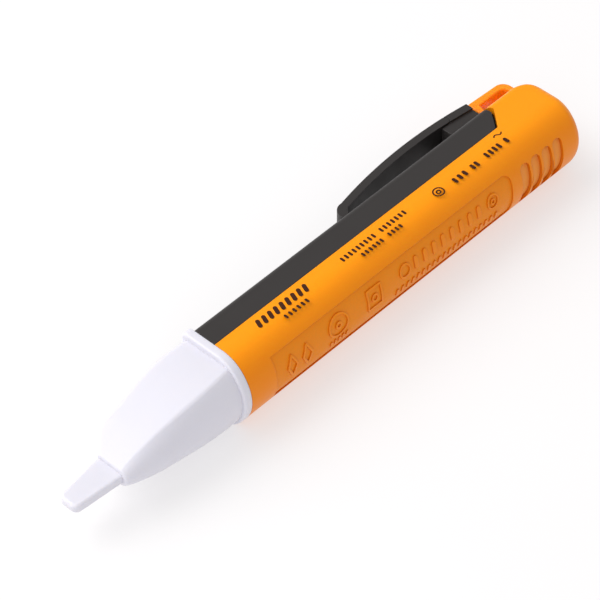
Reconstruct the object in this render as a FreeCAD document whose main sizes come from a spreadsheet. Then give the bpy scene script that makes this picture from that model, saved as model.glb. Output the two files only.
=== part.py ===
import FreeCAD, Part
import os
import re
import Sketcher

# A pocket non contact voltage tester. Every sub-part is drawn in the pen's own axes:
# x runs from the end of the blade to the rear end, y from the rounded belly to the clip,
# and z across the flat sides, with z = 0 in the middle. Each sub-part's Placement then
# turns those axes into the stored frame: centre of the footprint, resting on a flat side.

V = FreeCAD.Vector
EPSILON = 1e-6
NEAR = 0.01

# Driving dimensions in millimetres.
SIZES = {
    # casing section, shared by the tip's collar, the carrier and the sleeve
    "total_length": 150.8,
    "half_thickness": 9.75,
    "top_height": 9.0,
    "belly_start": 0.1,
    "belly_depth": 8.0,
    "belly_corner": 7.1,
    "ridge_round": 1.5,
    "split_height": 2.5,
    "seam": 0.1,
    "overshoot": 2.0,
    # sensing tip
    "collar_front": 42.9,
    "collar_rear": 44.9,
    "collar_high": 10.2,
    "collar_round": 0.5,
    "tip_wall": 1.3,
    "blade_root": 15.0,
    "blade_end_half": 2.6,
    "blade_slant_high": 7.8,
    "blade_slant_low": 4.1,
    "blade_end_round": 1.6,
    "blade_thickness": 2.4,
    "blade_edge_round": 0.7,
    "blade_slot_front": 3.0,
    "blade_slot_half": 1.8,
    "blade_slot_gap": 0.7,
    "blade_slot_rear": 21.0,
    "shoulder_round": 0.6,
    # sleeve
    "sleeve_wall": 1.55,
    "sleeve_inner_ridge": 0.6,
    "rear_wall": 1.6,
    "rear_room": 4.2,
    "rear_room_high": 5.6,
    "rear_room_low": 4.9,
    "rear_room_half": 6.1,
    "rear_room_corner": 2.4,
    "rear_flat": 0.15,
    "rear_top_round": 6.2,
    "rear_belly_round": 2.6,
    "rear_side_round": 3.0,
    "rear_edge_round": 0.5,
    "notch_foot": 133.4,
    "notch_rear": 137.3,
    "notch_knee": 7.0,
    "notch_top": 135.9,
    "notch_round": 2.6,
    "key_low": 0.1,
    "key_high": 1.1,
    "key_depth": 0.45,
    "label_front": 52.4,
    "label_length": 74.6,
    "label_half": 6.3,
    "label_depth": 0.4,
    "label_corner": 2.2,
    "grip_first": 133.2,
    "grip_pitch": 3.6,
    "grip_count": 4,
    "grip_width": 2.9,
    "grip_half": 5.6,
    "grip_depth": 0.85,
    "grip_corner": 1.2,
    "latch_slot_half": 4.7,
    # release latch
    "latch_half": 3.7,
    "latch_front": 139.1,
    "latch_height": 15.9,
    "latch_rise": 0.4,
    "latch_sheet": 1.8,
    "latch_leg": 1.5,
    "latch_bend": 2.6,
    "latch_pivot": 5.4,
    "latch_seat_gap": 0.1,
    "latch_barb_low": 11.7,
    "latch_barb_length": 1.2,
    "latch_front_round": 0.8,
    "latch_barb_round": 0.5,
    "latch_barb_slope": 0.6,
    "latch_edge_round": 0.5,
    # carrier
    "rail_wall": 1.5,
    "rail_foot": 132.7,
    "rail_rear": 136.0,
    "rail_knee": 6.6,
    "rail_top": 134.3,
    "rail_round": 1.9,
    "lip_thickness": 1.1,
    "lip_low": 0.5,
    "shelf_height": 3.8,
    "slide_gap": 0.12,
    "key_gap": 0.12,
    "front_plate": 1.4,
    "spigot_front": 38.4,
    "spigot_half": 6.8,
    "spigot_high": 6.8,
    "spigot_low": 5.6,
    "spigot_ridge": 1.4,
    "spigot_corner": 4.4,
    "spigot_wall": 0.9,
    "tray_front": 32.5,
    "tray_half": 3.6,
    "tray_low": 4.6,
    "tray_sheet": 1.2,
    "boss_radius": 1.5,
    "cell_wall_front": 48.8,
    "cell_wall": 1.4,
    "rib_first": 62.0,
    "rib_pitch": 21.6,
    "rib_count": 4,
    "rib_sheet": 1.4,
    "rib_cell_gap": 0.25,
    "tail_front": 128.0,
    "tail_wall_front": 144.6,
    "tail_rear": 146.0,
    "tail_half": 7.0,
    "tail_high": 7.1,
    "tail_low": 3.0,
    "tail_side": 1.3,
    "tail_roof": 1.2,
    "merge": 0.2,
    "rib_merge": 0.3,
    "rib_shoulder_gap": 0.1,
    "pilot_spare": 0.2,
    # clip and its block
    "block_front": 129.0,
    "block_rear": 138.2,
    "block_half": 4.45,
    "clip_half": 5.0,
    "clip_top": 17.1,
    "clip_crown": 120.0,
    "clip_arch": 121.0,
    "clip_sheet": 1.9,
    "clip_pivot": 131.0,
    "clip_seat_gap": 0.12,
    "clip_nose": 93.3,
    "clip_nose_height": 12.6,
    "clip_nose_round": 2.6,
    "clip_nose_shoulder": 96.2,
    "clip_foot_sheet": 1.9,
    "clip_foot_gap": 0.12,
    "clip_foot_draw": 0.2,
    "clip_foot_front_round": 0.8,
    "clip_foot_rear_reach": 0.4,
    "clip_foot_rear_round": 0.5,
    "clip_nose_drop": 0.6,
    "clip_hollow_drop": 1.2,
    "clip_hollow_round": 1.6,
    "clip_hollow_shoulder": 0.6,
    # circuit board and what stands on it
    "board_front": 26.3,
    "board_rear": 48.4,
    "board_half": 4.5,
    "board_nose_half": 3.2,
    "board_shoulder": 29.5,
    "board_thickness": 1.0,
    "electrode_front": 3.6,
    "electrode_half": 1.5,
    "electrode_sheet": 0.4,
    "electrode_bend": 20.0,
    "electrode_step": 1.0,
    "electrode_rear": 30.0,
    "lamp_front": 20.7,
    "lamp_radius": 1.5,
    "lamp_flange_radius": 1.75,
    "lamp_body_rear": 24.9,
    "lamp_rear": 25.9,
    "lamp_axis": 1.9,
    "lead_radius": 0.22,
    "lead_offset": 1.27,
    "lead_bend": 27.6,
    "chip_centre": 31.7,
    "chip_length": 4.9,
    "chip_width": 3.9,
    "chip_height": 1.45,
    "chip_standoff": 0.15,
    "chip_chamfer": 0.4,
    "leg_pitch": 1.27,
    "leg_width": 0.42,
    "leg_reach": 1.05,
    "leg_sheet": 0.22,
    "buzzer_centre": 41.5,
    "buzzer_side": 0.8,
    "buzzer_radius": 3.6,
    "buzzer_height": 3.3,
    "buzzer_hole": 0.8,
    "buzzer_disc_radius": 2.9,
    "buzzer_disc_sheet": 0.3,
    "buzzer_rim_round": 0.4,
    "buzzer_ledge": 0.5,
    "buzzer_lid": 0.7,
    "screw_front": 35.8,
    "screw_rear": 47.2,
    "screw_radius": 0.6,
    "screw_head_radius": 1.0,
    "screw_head_height": 0.7,
    "screw_length": 3.4,
    "screw_slot_width": 0.35,
    "screw_slot_depth": 0.3,
    "screw_slot_length": 1.4,
    "screw_hole_gap": 0.1,
    "screw_fit": 0.02,
    "screw_tip_gap": 0.4,
    "small_case": 1.3,
    "small_case_gap": 0.1,
    "small_leg_shift": 0.6,
    "small_leg_reach": 0.6,
    "small_leg_sheet": 0.3,
    "transistor_x": 47.1,
    "transistor_y": -3.0,
    "resistor_length": 1.6,
    "resistor_width": 0.8,
    "resistor_height": 0.45,
    "resistor_column": 35.9,
    "resistor_first": 1.8,
    "resistor_pitch": 1.05,
    "capacitor_length": 1.9,
    "capacitor_width": 1.1,
    "capacitor_height": 0.8,
    "capacitor_front": 31.0,
    "capacitor_rear": 33.4,
    "capacitor_side": 3.8,
    # power supply
    "cell_axis": -0.2,
    "cell_start": 50.5,
    "cell_length": 44.5,
    "cell_radius": 5.25,
    "cell_film": 0.12,
    "cell_film_gap": 0.03,
    "cell_nub_radius": 1.9,
    "cell_nub_length": 1.0,
    "cell_edge_round": 0.5,
    "cell_nub_round": 0.3,
    "contact_sheet": 0.3,
    "contact_half": 3.0,
    "contact_tab_low": 2.4,
    "contact_tab_high": 4.2,
    "contact_tab_reach": 1.2,
    "contact_side_gap": 0.2,
    "contact_face_gap": 0.05,
    "strip_half": 1.5,
    "strip_height": 5.75,
    "spring_wire": 0.35,
    "spring_radius": 2.6,
    "spring_turns": 4,
    "spring_end_gap": 0.02,
}

NAME = re.compile(r"[a-z_]+")

doc = FreeCAD.newDocument("voltage_tester")
sheet = doc.addObject("Spreadsheet::Sheet", "Size")
for row, (alias, size) in enumerate(SIZES.items(), start=1):
    sheet.set(f"A{row}", alias.replace("_", " "))
    sheet.set(f"B{row}", str(size))
    sheet.setAlias(f"B{row}", alias)
doc.recompute()

SUBPARTS = []


# ---------------------------------------------------------------- helpers

def bound(text):
    """The expression with every size's name turned into a reference to its cell."""
    def cell(match):
        word = match.group(0)
        return f"Size.{word}" if word in SIZES else word
    return NAME.sub(cell, str(text))


def number(text):
    """The value of an expression of sizes."""
    return float(sheet.evalExpression(str(text)))


def bind(part, field, text):
    part.setExpression(field, bound(text))


def finish(part):
    """Turn the pen's axes into the stored frame, and keep the part for export."""
    bind(part, "Placement.Base.x", "-total_length / 2")
    bind(part, "Placement.Base.y", "(belly_depth - clip_top) / 2")
    bind(part, "Placement.Base.z", "half_thickness")
    SUBPARTS.append(part)
    return part


def new_body(label):
    body = doc.addObject("PartDesign::Body", label)
    body.Label = label
    return body


def blank_sketch(body, name, plane, offset, lift="0"):
    """An empty sketch on an origin plane of the body, offset along its normal."""
    sketch = body.newObject("Sketcher::SketchObject", name)
    origin_plane = next(item for item in body.Origin.OriginFeatures if item.Role == plane)
    sketch.AttachmentSupport = [(origin_plane, "")]
    sketch.MapMode = "FlatFace"
    bind(sketch, "AttachmentOffset.Base.z", offset)
    bind(sketch, "AttachmentOffset.Base.y", lift)
    return sketch


def pin_point(sketch, geometry, position, across, along):
    """Fix one point of a sketch at two expressions."""
    for kind, text, axis in (("DistanceX", across, -2), ("DistanceY", along, -1)):
        place = number(text)
        if abs(place) < EPSILON:
            sketch.addConstraint(Sketcher.Constraint("PointOnObject", geometry, position, axis))
            continue
        index = sketch.addConstraint(Sketcher.Constraint(kind, -1, 1, geometry, position, place))
        bind(sketch, f"Constraints[{index}]", text)


def arc_through(start, end, radius):
    """The shorter arc between two points: a positive radius bulges to the right of travel."""
    chord = end - start
    middle = (start + end) * 0.5
    left = V(-chord.y, chord.x, 0).normalize()
    reach = max(radius * radius - chord.Length * chord.Length / 4, 0.0) ** 0.5
    rise = abs(radius) - reach
    side = -1 if radius > 0 else 1
    return Part.Arc(start, middle + left * (rise * side), end)


def outline(body, name, plane, offset, points, lift="0"):
    """A closed outline. Each point is (across, along) or (across, along, radius), where the
    radius is that of the arc to the next point: positive for a bulge, negative for a hollow,
    going anticlockwise."""
    sketch = blank_sketch(body, name, plane, offset, lift)
    corners = [V(number(point[0]), number(point[1]), 0) for point in points]
    ends = []
    for index, point in enumerate(points):
        start = corners[index]
        end = corners[(index + 1) % len(points)]
        if len(point) == 3:
            sketch.addGeometry(arc_through(start, end, number(point[2])))
        else:
            sketch.addGeometry(Part.LineSegment(start, end))
        forward = (sketch.getPoint(index, 1) - start).Length < (sketch.getPoint(index, 2) - start).Length
        ends.append((1, 2) if forward else (2, 1))
    for index, point in enumerate(points):
        after = (index + 1) % len(points)
        joint = Sketcher.Constraint("Coincident", index, ends[index][1], after, ends[after][0])
        sketch.addConstraint(joint)
        pin_point(sketch, index, ends[index][0], point[0], point[1])
        if len(point) == 3:
            rule = Sketcher.Constraint("Radius", index, abs(number(point[2])))
            constraint = sketch.addConstraint(rule)
            bind(sketch, f"Constraints[{constraint}]", f"abs({point[2]})")
    return sketch


def rectangle(body, name, plane, offset, low, high, lift="0"):
    """A rectangle between two corners."""
    points = [(low[0], low[1]), (high[0], low[1]), (high[0], high[1]), (low[0], high[1])]
    return outline(body, name, plane, offset, points, lift)


def circles(body, name, plane, offset, rounds, lift="0"):
    """Circles, each (across, along, radius)."""
    sketch = blank_sketch(body, name, plane, offset, lift)
    for index, (across, along, radius) in enumerate(rounds):
        centre = V(number(across), number(along), 0)
        sketch.addGeometry(Part.Circle(centre, V(0, 0, 1), number(radius)))
        pin_point(sketch, index, 3, across, along)
        constraint = sketch.addConstraint(Sketcher.Constraint("Radius", index, number(radius)))
        bind(sketch, f"Constraints[{constraint}]", radius)
    return sketch


def settled(feature):
    """Recompute, and stop at once if the feature could not be made."""
    doc.recompute()
    if "Invalid" in feature.State or "Error" in feature.State or feature.Shape.isNull():
        raise RuntimeError(f"{feature.Name} could not be made")
    return feature


def extrude(body, kind, sketch, length, symmetric):
    feature = body.newObject(kind, f"{sketch.Name}_{kind.split('::')[1].lower()}")
    feature.Profile = sketch
    bind(feature, "Length", length)
    if symmetric:
        feature.SideType = "Symmetric"
    elif kind == "PartDesign::Pocket":
        feature.Reversed = True
    return settled(feature)


def pad(body, sketch, length, symmetric=False):
    """Add material along the sketch's normal, or evenly to both sides of it."""
    return extrude(body, "PartDesign::Pad", sketch, length, symmetric)


def pocket(body, sketch, length, symmetric=False):
    """Remove material along the sketch's normal, or evenly on both sides of it."""
    before = body.Shape.Volume
    feature = extrude(body, "PartDesign::Pocket", sketch, length, symmetric)
    if body.Shape.Volume > before - EPSILON:
        raise RuntimeError(f"{feature.Name} removes nothing")
    return feature


def loft(body, kind, sections):
    feature = body.newObject(kind, f"{sections[0].Name}_loft")
    feature.Profile = sections[0]
    feature.Sections = sections[1:]
    return settled(feature)


def spin(body, sketch):
    """Turn an outline about the sketch's horizontal axis."""
    feature = body.newObject("PartDesign::Revolution", f"{sketch.Name}_revolution")
    feature.Profile = sketch
    feature.ReferenceAxis = (sketch, ["H_Axis"])
    feature.Angle = 360
    return settled(feature)


def repeat(body, feature, direction_role, span, count):
    """A row of a feature along an origin axis of the body."""
    axis = next(item for item in body.Origin.OriginFeatures if item.Role == direction_role)
    pattern = body.newObject("PartDesign::LinearPattern", f"{feature.Name}_row")
    pattern.Originals = [feature]
    pattern.Direction = (axis, [""])
    bind(pattern, "Length", span)
    bind(pattern, "Occurrences", count)
    body.Tip = pattern
    return settled(pattern)


def edges_where(shape, accept):
    """Names of the edges whose sample points satisfy a test."""
    names = []
    for index, edge in enumerate(shape.Edges, start=1):
        if accept(edge.discretize(5)):
            names.append(f"Edge{index}")
    return names


def lies_on(sketch):
    """A test for edges that follow a sketch's outline."""
    wire = sketch.Shape
    return lambda points: all(wire.distToShape(Part.Vertex(p))[0] < NEAR for p in points)


def soften(body, radius, accept):
    """Round the edges of the body's last feature that satisfy a test."""
    base = body.Tip
    names = edges_where(base.Shape, accept)
    if not names:
        raise RuntimeError(f"{body.Name}: no edge to round after {base.Name}")
    feature = body.newObject("PartDesign::Fillet", f"{base.Name}_round")
    feature.Base = (base, names)
    bind(feature, "Radius", radius)
    return settled(feature)


def box(name, low, high):
    """A Part::Box between two corners, each a triple of expressions."""
    solid = doc.addObject("Part::Box", name)
    for field, start, stop in zip(("Length", "Width", "Height"), low, high):
        bind(solid, field, f"({stop}) - ({start})")
    for axis, start in zip("xyz", low):
        bind(solid, f"Placement.Base.{axis}", start)
    return solid


def rod(name, base, radius, height, along="z"):
    """A Part::Cylinder from a base centre, along x, y or z."""
    solid = doc.addObject("Part::Cylinder", name)
    turns = {"x": (V(0, 1, 0), 90), "y": (V(1, 0, 0), -90), "z": (V(0, 0, 1), 0)}
    solid.Placement = FreeCAD.Placement(V(), FreeCAD.Rotation(*turns[along]))
    bind(solid, "Radius", radius)
    bind(solid, "Height", height)
    for axis, start in zip("xyz", base):
        bind(solid, f"Placement.Base.{axis}", start)
    return solid


def fused(name, pieces):
    solid = doc.addObject("Part::MultiFuse", name)
    solid.Shapes = pieces
    return solid


def cut(label, base, tool):
    solid = doc.addObject("Part::Cut", label)
    solid.Label = label
    solid.Base = base
    solid.Tool = tool
    return solid


def group(label, pieces):
    """Separate like solids that share one node."""
    solid = doc.addObject("Part::Compound", label)
    solid.Label = label
    solid.Links = pieces
    return solid


# ---------------------------------------------------------------- shared outlines

def section(high, low, half, ridge, start, corner):
    """A casing section across the pen, as (y, z): a flat top with two rounded ridges, flat sides
    down to the belly's start, and a belly of two corner arcs and one wide arc, all tangent."""
    wide = belly_radius(low, half, start, corner)
    fraction = f"({corner} / ({wide} - {corner}))"
    join_y = f"{start} + ({start} - {wide} + {low}) * {fraction}"
    join_z = f"({half} - {corner}) * (1 + {fraction})"
    return [
        (high, f"-({half} - {ridge})"),
        (high, f"{half} - {ridge}", ridge),
        (f"{high} - {ridge}", half),
        (start, half, corner),
        (join_y, join_z, wide),
        (join_y, f"-({join_z})", corner),
        (start, f"-{half}"),
        (f"{high} - {ridge}", f"-{half}", ridge),
    ]


def belly_radius(low, half, start, corner):
    """Radius of the belly's wide arc, from tangency with the two corner arcs."""
    rise = f"({start} + {low})"
    side = f"({half} - {corner})"
    return f"(({rise} ^ 2 - {corner} ^ 2 + {side} ^ 2) / (2 * ({rise} - {corner})))"


def casing_section(inset, ridge="ridge_round", high="top_height"):
    """The section that the collar, the carrier and the sleeve share, moved inwards."""
    return section(high, f"(belly_depth - {inset})", f"(half_thickness - {inset})", ridge,
                   "belly_start", f"(belly_corner - {inset})")


def rounded_box(high, low, half, corner):
    """A rounded box across the pen, as (y, z)."""
    return [
        (high, f"-({half} - {corner})"),
        (high, f"{half} - {corner}", corner),
        (f"{high} - {corner}", half),
        (f"-{low} + {corner}", half, corner),
        (f"-{low}", f"{half} - {corner}"),
        (f"-{low}", f"-({half} - {corner})", corner),
        (f"-{low} + {corner}", f"-{half}"),
        (f"{high} - {corner}", f"-{half}", corner),
    ]


def arch_height(x, inset="0"):
    """Height of the clip's arched outer face, or of a line inset below it, at a place x."""
    return (f"(clip_top - clip_arch + sqrt((clip_arch - ({inset})) ^ 2"
            f" - (({x}) - clip_crown) ^ 2))")


# ---------------------------------------------------------------- sensing tip

# Stations along the tip, each with its place, its height above and depth below the axis, its
# half thickness, the radius of its upper edges, the height where its belly starts and the
# radius of its belly corners.
TIP_STATIONS = [
    (12.3, 3.8, 4.3, 2.2, 0.8, -2.7, 0.6),
    (14.4, 6.2, 5.1, 3.2, 1.1, -2.6, 0.8),
    (17.0, 8.1, 5.6, 4.2, 1.3, -2.7, 1.0),
    (20.0, 8.5, 6.1, 5.1, 1.5, -2.8, 1.1),
    (30.0, 9.65, 6.6, 7.2, 1.6, -3.1, 1.3),
    (37.0, 9.85, 7.0, 8.1, 1.6, -3.2, 1.3),
    ("collar_front", 9.6, 7.25, 8.2, 1.6, -2.7, 1.3),
]
CAVITY_STATION = 3


def tip_outline(body, name, station, inset, place=None):
    """The tip's section at a station, moved inwards by an inset."""
    x, high, low, half, ridge, start, corner = station
    points = section(f"({high} - {inset})", f"({low} - {inset})", f"({half} - {inset})",
                     f"({ridge} - {inset} / 2)", f"({start})", corner)
    return outline(body, name, "YZ_Plane", place or x, points)


def tip_sections(body, name, inset, first):
    sections = []
    for index, station in enumerate(TIP_STATIONS[first:]):
        sections.append(tip_outline(body, f"{name}_{index}", station, inset))
    return sections


def blade_corner(slant):
    """Where the blade's slanting side meets the rounded corner at its end, without a kink."""
    return ("(blade_end_round - blade_end_round * sin(%s))" % slant,
            "(blade_end_half - blade_end_round + blade_end_round * cos(%s))" % slant)


def sensor_tip():
    body = new_body("sensor_tip")
    high = blade_corner("blade_slant_high")
    low = blade_corner("blade_slant_low")
    blade = [
        ("blade_root", f"-({low[1]} + (blade_root - {low[0]}) * tan(blade_slant_low))"),
        ("blade_root", f"{high[1]} + (blade_root - {high[0]}) * tan(blade_slant_high)"),
        (high[0], high[1], "blade_end_round"),
        ("0", "blade_end_half - blade_end_round"),
        ("0", "-blade_end_half + blade_end_round", "blade_end_round"),
        (low[0], f"-{low[1]}"),
    ]
    pad(body, outline(body, "blade", "XY_Plane", "0", blade), "blade_thickness", symmetric=True)
    blade_half = number("blade_thickness / 2")
    root = number("blade_root")
    soften(body, "blade_edge_round",
           lambda points: all(abs(abs(p.z) - blade_half) < NEAR for p in points)
           and min(p.x for p in points) < root - NEAR)
    shoulder = tip_sections(body, "tip_outer", "0", 0)
    loft(body, "PartDesign::AdditiveLoft", shoulder)
    soften(body, "shoulder_round", lies_on(shoulder[0]))
    flange = casing_section("0", high="collar_high")
    collar = outline(body, "collar", "YZ_Plane", "collar_front", flange)
    pad(body, collar, "collar_rear - collar_front")
    soften(body, "collar_round", lies_on(collar))
    loft(body, "PartDesign::SubtractiveLoft",
         tip_sections(body, "tip_inner", "tip_wall", CAVITY_STATION))
    mouth = tip_outline(body, "mouth", TIP_STATIONS[-1], "tip_wall", "collar_front")
    pocket(body, mouth, "collar_rear - collar_front + overshoot")
    slot = rectangle(body, "blade_slot", "XY_Plane", "0",
                     ("blade_slot_front", "-blade_slot_half"),
                     ("blade_slot_rear", "blade_slot_half"))
    pocket(body, slot, "blade_slot_gap", symmetric=True)
    return finish(body)


# ---------------------------------------------------------------- sleeve and its latch

# Distances from the rear end of the sections that shape the rounded end.
REAR_STATIONS = (8.0, 7.0, 6.0, 4.6, 3.2, 2.1, 1.2, 0.5, 0.0)


def sleeve():
    """The battery sleeve: a trough under the carrier, closed all round behind its notch."""
    body = new_body("sleeve_moulding")
    front = "(collar_rear + seam)"
    outer = outline(body, "sleeve_outer", "YZ_Plane", front, casing_section("0"))
    pad(body, outer, f"total_length - {REAR_STATIONS[0]} - {front}")
    sleeve_rear_end(body)
    inner = outline(body, "sleeve_inner", "YZ_Plane", f"{front} - overshoot",
                    casing_section("sleeve_wall", "sleeve_inner_ridge", "(top_height - sleeve_wall)"))
    pocket(body, inner, f"total_length - rear_room - {front} + overshoot")
    small = rounded_box("rear_room_high", "rear_room_low", "rear_room_half", "rear_room_corner")
    pocket(body, outline(body, "sleeve_end_room", "YZ_Plane", "total_length - 2 * rear_room", small),
           "2 * rear_room - rear_wall")
    sleeve_notch(body, front)
    sleeve_keyway(body, front)
    sleeve_latch_slot(body)
    return finish(cut("sleeve", cut("sleeve_with_label", body, label_recess()), grip_recess()))


def sleeve_notch(body, front):
    """Everything above the seam line is open, back to a leaning edge that follows the rail."""
    high = "(top_height + overshoot)"
    points = [
        (f"{front} - overshoot", "split_height"),
        ("notch_foot", "split_height"),
        ("notch_rear", "notch_knee", "notch_round"),
        ("notch_top", "top_height"),
        ("notch_top", high),
        (f"{front} - overshoot", high),
    ]
    pocket(body, outline(body, "notch", "XY_Plane", "0", points), "4 * half_thickness", True)


def drawn_in(reach, radius):
    """How far a rounded outline has drawn in, at a distance from the rear end."""
    along = f"({radius} - rear_flat - {reach})"
    if number(along) <= 0:
        return "0"
    return f"({radius} - sqrt({radius} ^ 2 - {along} ^ 2))"


def sleeve_rear_end(body):
    """The rear end, round in every direction: the casing section draws in towards the end."""
    sections = []
    for index, reach in enumerate(REAR_STATIONS):
        side = drawn_in(reach, "rear_side_round")
        points = section(f"(top_height - {drawn_in(reach, 'rear_top_round')})",
                         f"(belly_depth - {drawn_in(reach, 'rear_belly_round')})",
                         f"(half_thickness - {side})", "ridge_round", "belly_start",
                         f"(belly_corner - {side})")
        sections.append(outline(body, f"rear_{index}", "YZ_Plane", f"total_length - {reach}", points))
    loft(body, "PartDesign::AdditiveLoft", sections)
    soften(body, "rear_edge_round", lies_on(sections[-1]))


def sleeve_keyway(body, front):
    """A groove inside each side wall, where the carrier's key slides."""
    inside = "(half_thickness - sleeve_wall)"
    for name, sign in (("keyway_upper", 1), ("keyway_lower", -1)):
        low = f"{sign} * ({inside} - seam)"
        high = f"{sign} * ({inside} + key_depth)"
        first, last = (low, high) if sign > 0 else (high, low)
        groove = rectangle(body, name, "YZ_Plane", f"{front} - overshoot",
                           ("key_low", first), ("key_high", last))
        pocket(body, groove, "notch_rear - collar_rear + overshoot")


def sleeve_latch_slot(body):
    """The slot in the top and rear walls for the latch, with a round seat for its root."""
    high = "(top_height + overshoot)"
    slot = rectangle(body, "latch_slot", "XY_Plane", "0",
                     ("notch_foot", "latch_pivot"), ("total_length + overshoot", high))
    pocket(body, slot, "2 * latch_slot_half", symmetric=True)
    seat = circles(body, "latch_seat", "XY_Plane", "0",
                   [("total_length - latch_leg / 2", "latch_pivot", "latch_leg / 2 + latch_seat_gap")])
    pocket(body, seat, "2 * latch_slot_half", symmetric=True)


def recess_floor(depth, half):
    """The radius of a belly recess's floor, and the height of the floor's two edges."""
    wide = belly_radius("belly_depth", "half_thickness", "belly_start", "belly_corner")
    floor_radius = f"({wide} - {depth})"
    return floor_radius, f"({wide} - belly_depth - sqrt({floor_radius} ^ 2 - {half} ^ 2))"


def grip_recess():
    """The volume that the finger grooves take out of the belly. They are slots of even depth
    with round corners, and thin ribs stand between them."""
    body = new_body("grip_recess")
    rear = "grip_first"
    front = "(grip_first - grip_width)"
    near_rear = "(grip_first - grip_corner)"
    near_front = f"({front} + grip_corner)"
    straight = "(grip_half - grip_corner)"
    slot = [
        (near_front, "-grip_half"),
        (near_rear, "-grip_half", "grip_corner"),
        (rear, f"-{straight}"),
        (rear, straight, "grip_corner"),
        (near_rear, "grip_half"),
        (near_front, "grip_half", "grip_corner"),
        (front, straight),
        (front, f"-{straight}", "grip_corner"),
    ]
    first = pad(body, outline(body, "grip_slot", "XZ_Plane", "0", slot), "4 * belly_depth", True)
    repeat(body, first, "X_Axis", "grip_pitch * (grip_count - 1)", "grip_count")
    half = "(grip_half + overshoot)"
    floor_radius, edge = recess_floor("grip_depth", half)
    high = "(2 * belly_depth + overshoot)"
    above = [
        (high, f"-{half}"),
        (high, half),
        (edge, half, floor_radius),
        (edge, f"-{half}"),
    ]
    pocket(body, outline(body, "grip_inside", "YZ_Plane", f"{front} - overshoot", above),
           "total_length")
    return body


def label_recess():
    """The volume that a shallow recess of even depth takes out of the belly. Its rear corners
    are round."""
    body = new_body("label_recess")
    floor_radius, edge = recess_floor("label_depth", "label_half")
    deep = "(-belly_depth - overshoot)"
    points = [
        (deep, "label_half"),
        (deep, "-label_half"),
        (edge, "-label_half", f"-{floor_radius}"),
        (edge, "label_half"),
    ]
    pad(body, outline(body, "label", "YZ_Plane", "label_front", points), "label_length")
    rear = "(label_front + label_length)"
    for name, sign in (("upper", 1), ("lower", -1)):
        start = (rear, f"{sign} * (label_half - label_corner)")
        stop = (f"{rear} - label_corner", f"{sign} * label_half")
        square = (f"{rear} + seam", f"{sign} * (label_half + seam)")
        points = corner_region(start, stop, square, "label_corner", sign > 0)
        corner = outline(body, f"label_{name}", "XZ_Plane", "0", points)
        pocket(body, corner, "4 * belly_depth", symmetric=True)
    return body


def corner_region(start, stop, square, radius, anticlockwise):
    """What lies outside a rounded corner: the arc goes from start to stop, and square is a
    point beyond the sharp corner."""
    side_start = (square[0], start[1])
    side_stop = (stop[0], square[1])
    if anticlockwise:
        return [start, side_start, square, side_stop, (stop[0], stop[1], f"-{radius}")]
    return [(start[0], start[1], f"-{radius}"), stop, side_stop, square, side_start]


def release_latch():
    """A springy tongue: a sheet behind the clip's block that bends down to the rear wall."""
    body = new_body("release_latch")
    outer_x = "total_length"
    inner_x = "(total_length - latch_leg)"
    sheet_low = "(latch_height - latch_sheet)"
    inner_bend = "(latch_bend - latch_leg / 2)"
    points = [
        (outer_x, "latch_pivot"),
        (outer_x, "latch_height - latch_bend", "latch_bend"),
        (f"{outer_x} - latch_bend", "latch_height"),
        ("latch_front + latch_front_round", "latch_height + latch_rise", "latch_front_round"),
        ("latch_front", "latch_height + latch_rise - latch_front_round"),
        ("latch_front", "latch_barb_low + latch_barb_round"),
        ("latch_front + latch_barb_round", "latch_barb_low"),
        ("latch_front + latch_barb_length", "latch_barb_low"),
        ("latch_front + latch_barb_length + latch_barb_slope", sheet_low),
        (f"{inner_x} - {inner_bend}", sheet_low, f"-{inner_bend}"),
        (inner_x, f"{sheet_low} - {inner_bend}"),
        (inner_x, "latch_pivot", "latch_leg / 2"),
        (f"{outer_x} - latch_leg / 2", "latch_pivot - latch_leg / 2", "latch_leg / 2"),
    ]
    tongue = outline(body, "tongue", "XY_Plane", "0", points)
    pad(body, tongue, "2 * latch_half", symmetric=True)
    half = number("latch_half")
    height = number("latch_height - latch_bend")
    soften(body, "latch_edge_round",
           lambda points: all(abs(abs(p.z) - half) < NEAR for p in points)
           and min(p.y for p in points) > height + NEAR)
    return finish(body)


# ---------------------------------------------------------------- carrier and clip

def carrier():
    """The inner frame: the visible rails, the front plate and spigot, the board's tray, the
    cell walls and ribs, the tail inside the sleeve, and the block that bears the clip."""
    body = new_body("carrier")
    carrier_shell(body)
    carrier_front(body)
    carrier_ribs(body)
    carrier_tail(body)
    carrier_block(body)
    return finish(body)


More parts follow.
